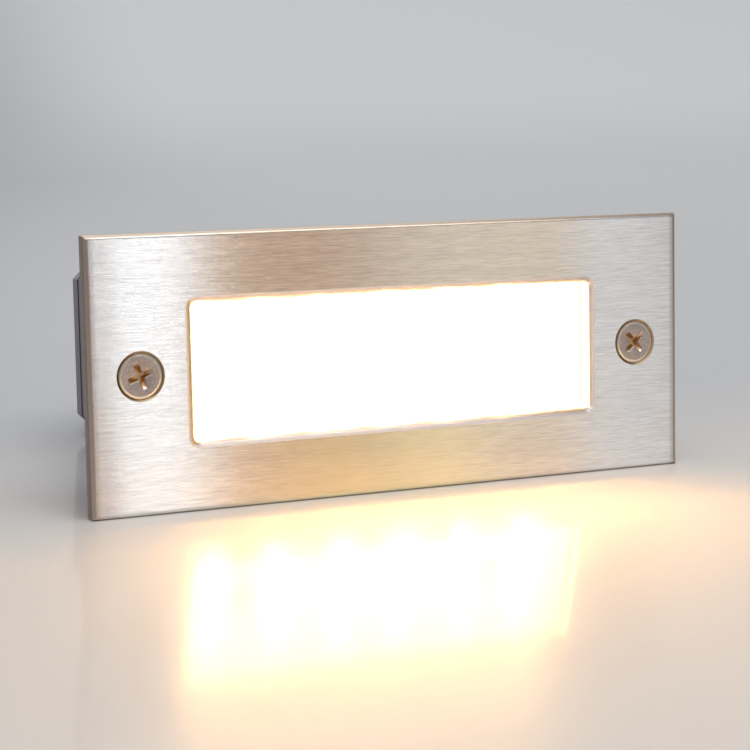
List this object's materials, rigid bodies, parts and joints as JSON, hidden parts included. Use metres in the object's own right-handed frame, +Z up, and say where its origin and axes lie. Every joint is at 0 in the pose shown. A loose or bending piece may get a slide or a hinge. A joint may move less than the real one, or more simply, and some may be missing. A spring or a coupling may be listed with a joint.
{
  "type": "step light",
  "caption": "Recessed step light: brushed steel faceplate with a lit rectangular window, on a sealed plastic housing with its driver and a cable gland behind.",
  "frame": {"origin": "centre of the light on the wall's surface, where the gasket and the flange's front face lie", "axes": "+X along the light, +Z up, -Y out into the room; the housing runs into the wall along +Y"},
  "size_m": [0.11, 0.0732, 0.045],
  "materials": {
    "brushed_steel": "horizontally brushed stainless sheet",
    "steel_screw": "bright stainless fastener",
    "brass": "plain brass",
    "black_rubber": "matt closed-cell rubber",
    "lens": "frosted polycarbonate, lit warm",
    "housing": "fine-grained dark grey moulding",
    "white_plastic": "white reflector moulding",
    "led_board": "white solder mask",
    "led_package": "white ceramic-filled package",
    "phosphor": "yellow phosphor in silicone",
    "thermal_pad": "soft grey-blue pad",
    "aluminium": "mill finish",
    "lead_red": "PVC insulation",
    "lead_black": "PVC insulation",
    "driver_board": "green glass-fibre board",
    "terminal_green": "green terminal moulding",
    "nickel": "nickel plate",
    "resistor": "lacquered body",
    "varistor": "blue dipped coating",
    "film_capacitor": "yellow box",
    "black_epoxy": "moulded epoxy",
    "can_sleeve": "dark shrink sleeve",
    "ferrite": "sintered ferrite",
    "bobbin": "phenolic bobbin",
    "coil_tape": "yellow winding tape",
    "gland": "black nylon"
  },
  "bodies": {
    "housing": {"housing": "housing", "threaded_inserts": "brass", "reflector": "white_plastic", "leds": "led_package", "led_phosphors": "phosphor", "led_board": "led_board", "thermal_pad": "thermal_pad", "heat_spreader": "aluminium", "light_engine_screws": "steel_screw", "lead_grommet": "black_rubber", "lead_plus": "lead_red", "lead_minus": "lead_black", "driver_board": "driver_board", "terminal_block": "terminal_green", "terminal_contacts": "nickel", "fusible_resistor": "resistor", "varistor": "varistor", "film_capacitor": "film_capacitor", "bridge_rectifier": "black_epoxy", "input_capacitor": "can_sleeve", "transformer_core": "ferrite", "transformer_bobbin": "bobbin", "transformer_coil": "coil_tape", "driver_chip": "black_epoxy", "output_diode": "black_epoxy", "output_capacitor": "can_sleeve"},
    "faceplate": {"faceplate": "brushed_steel", "wall_gasket": "black_rubber", "lens_seal": "black_rubber", "lens": "lens"},
    "left_cone_washer": {"cone_washer_left": "brass"},
    "left_front_screw": {"front_screw_left": "steel_screw"},
    "right_cone_washer": {"cone_washer_right": "brass"},
    "right_front_screw": {"front_screw_right": "steel_screw"},
    "back_cover": {"back_cover": "housing", "cover_seal": "black_rubber", "cover_screws": "steel_screw", "gland_body": "gland", "gland_washer": "black_rubber", "lock_nut": "gland", "gland_seal": "black_rubber"},
    "gland_clamp": {"gland_clamp": "gland"},
    "gland_cap": {"gland_cap": "gland"},
    "live_terminal_screw": {"terminal_screw_live": "nickel"},
    "neutral_terminal_screw": {"terminal_screw_neutral": "nickel"},
    "live_terminal_cage": {"terminal_cage_live": "nickel"},
    "neutral_terminal_cage": {"terminal_cage_neutral": "nickel"}
  },
  "joints": [
    {"name": "faceplate_lift", "type": "slide", "parent": "housing", "child": "faceplate", "axis": [0, -1, 0], "range_m": [0, 0.04]},
    {"name": "left_screw_travel", "type": "slide", "parent": "faceplate", "child": "left_cone_washer", "axis": [0, -1, 0], "range_m": [0, 0.0105]},
    {"name": "left_screw_turn", "type": "hinge", "parent": "left_cone_washer", "child": "left_front_screw", "pos_m": [-0.04615, 0, 0], "axis": [0, -1, 0], "range_deg": [0, 5400]},
    {"name": "right_screw_travel", "type": "slide", "parent": "faceplate", "child": "right_cone_washer", "axis": [0, -1, 0], "range_m": [0, 0.0105]},
    {"name": "right_screw_turn", "type": "hinge", "parent": "right_cone_washer", "child": "right_front_screw", "pos_m": [0.04615, 0, 0], "axis": [0, -1, 0], "range_deg": [0, 5400]},
    {"name": "cover_lift", "type": "slide", "parent": "housing", "child": "back_cover", "axis": [0, 1, 0], "range_m": [0, 0.03]},
    {"name": "gland_clamp_travel", "type": "slide", "parent": "back_cover", "child": "gland_clamp", "axis": [0, 1, 0], "range_m": [0, 0.00225]},
    {"name": "gland_cap_turn", "type": "hinge", "parent": "gland_clamp", "child": "gland_cap", "pos_m": [0, 0.062, 0], "axis": [0, 1, 0], "range_deg": [0, 540]},
    {"name": "live_terminal_turn", "type": "hinge", "parent": "housing", "child": "live_terminal_screw", "pos_m": [-0.02834, 0.0396, 0.004], "axis": [0, 0, -1], "range_deg": [0, 1440]},
    {"name": "live_cage_rise", "type": "slide", "parent": "housing", "child": "live_terminal_cage", "axis": [0, 0, 1], "range_m": [0, 0.002]},
    {"name": "neutral_terminal_turn", "type": "hinge", "parent": "housing", "child": "neutral_terminal_screw", "pos_m": [-0.02326, 0.0396, 0.004], "axis": [0, 0, -1], "range_deg": [0, 1440]},
    {"name": "neutral_cage_rise", "type": "slide", "parent": "housing", "child": "neutral_terminal_cage", "axis": [0, 0, 1], "range_m": [0, 0.002]}
  ],
  "couplings": [
    {"joint": "left_screw_turn", "follows": "left_screw_travel", "rad_per_m": 8975.9},
    {"joint": "right_screw_turn", "follows": "right_screw_travel", "rad_per_m": 8975.9},
    {"joint": "gland_cap_turn", "follows": "gland_clamp_travel", "rad_per_m": 4188.7},
    {"joint": "live_terminal_turn", "follows": "live_cage_rise", "rad_per_m": 12566},
    {"joint": "neutral_terminal_turn", "follows": "neutral_cage_rise", "rad_per_m": 12566}
  ]
}
